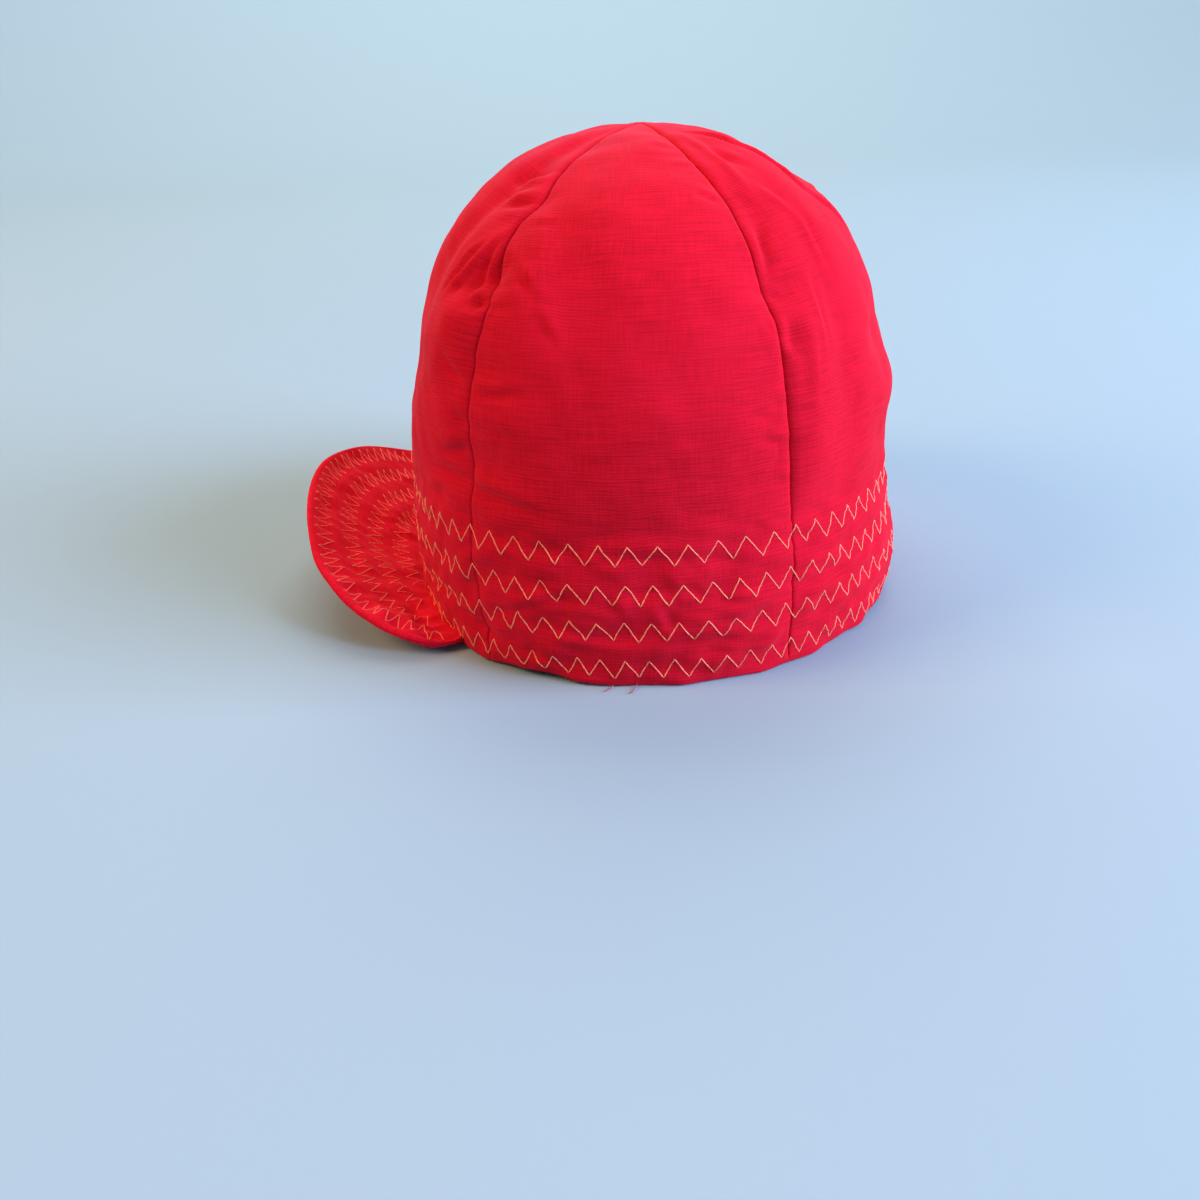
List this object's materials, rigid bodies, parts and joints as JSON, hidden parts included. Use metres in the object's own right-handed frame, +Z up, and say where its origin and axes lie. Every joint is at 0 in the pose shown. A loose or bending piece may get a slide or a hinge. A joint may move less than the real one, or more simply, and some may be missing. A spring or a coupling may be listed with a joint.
{
  "type": "welding cap",
  "caption": "Soft cotton welding cap: a deep round crown of six panels, a quilted hem with rows of zigzag stitching and a short turned-up bill.",
  "frame": {"origin": "bottom centre of the whole cap's box, on the surface that the rim rests on", "axes": "+Z up through the crown, -Y towards the wearer's front and the bill, +X towards the wearer's left"},
  "size_m": [0.2008, 0.2104, 0.152],
  "materials": {
    "cotton": "matte plain-woven cotton",
    "bill_cotton": "matte plain-woven cotton, quilted",
    "thread": "satin sewing thread"
  },
  "bodies": {
    "root": {"panel_front_left": "cotton", "panel_side_left": "cotton", "panel_back_left": "cotton", "panel_back_right": "cotton", "panel_side_right": "cotton", "panel_front_right": "cotton", "bill": "bill_cotton"}
  },
  "joints": []
}
